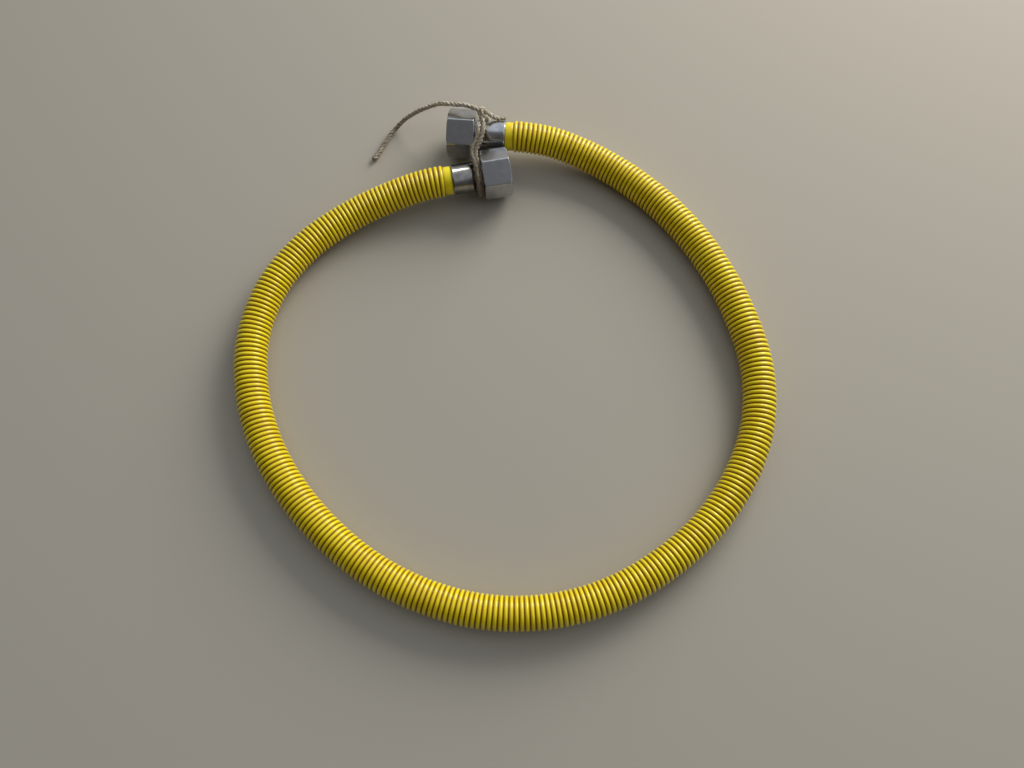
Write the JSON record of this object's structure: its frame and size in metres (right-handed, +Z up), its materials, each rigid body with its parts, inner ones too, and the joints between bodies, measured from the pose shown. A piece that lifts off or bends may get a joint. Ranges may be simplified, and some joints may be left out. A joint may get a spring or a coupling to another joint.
{
  "type": "flexible gas hose",
  "caption": "Yellow jacketed corrugated gas hose with a loose hexagon union nut on a flanged stub at each end, laid in a ring and tied with twine.",
  "frame": {"origin": "on the surface the hose lies on, under the middle of the ring and its fittings, without the twine", "axes": "+Z up, +X to the right and +Y away from the viewer of the picture, towards the two fittings"},
  "size_m": [0.3373, 0.3424, 0.0335],
  "materials": {
    "yellow_jacket": "soft gloss, ribbed",
    "nickel_steel": "satin nickel plate, worn bright at the edges",
    "polished_steel": "polished",
    "stainless": "drawn stainless steel",
    "black_rubber": "matte",
    "jute_twine": "twisted natural fibre"
  },
  "bodies": {
    "root": {"hose_jacket": "yellow_jacket", "corrugated_tube": "stainless", "gasket_a": "black_rubber", "gasket_b": "black_rubber", "nipple_a": "stainless", "nipple_b": "stainless", "ferrule_a": "polished_steel", "ferrule_b": "polished_steel", "twine_wrap": "jute_twine", "twine_knot": "jute_twine", "twine_tail": "jute_twine", "twine_short_end": "jute_twine"},
    "nut_a": {"union_nut_a": "nickel_steel"},
    "nut_b": {"union_nut_b": "nickel_steel"}
  },
  "joints": [
    {"name": "nut_a_turn", "type": "hinge", "parent": "root", "child": "nut_a", "pos_m": [-0.02766, 0.15445, 0.01656], "axis": [0.9971, -0.076, 0], "continuous": true},
    {"name": "nut_b_turn", "type": "hinge", "parent": "root", "child": "nut_b", "pos_m": [-0.00448, 0.12365, 0.01656], "axis": [-0.9854, -0.1702, 0], "continuous": true}
  ]
}
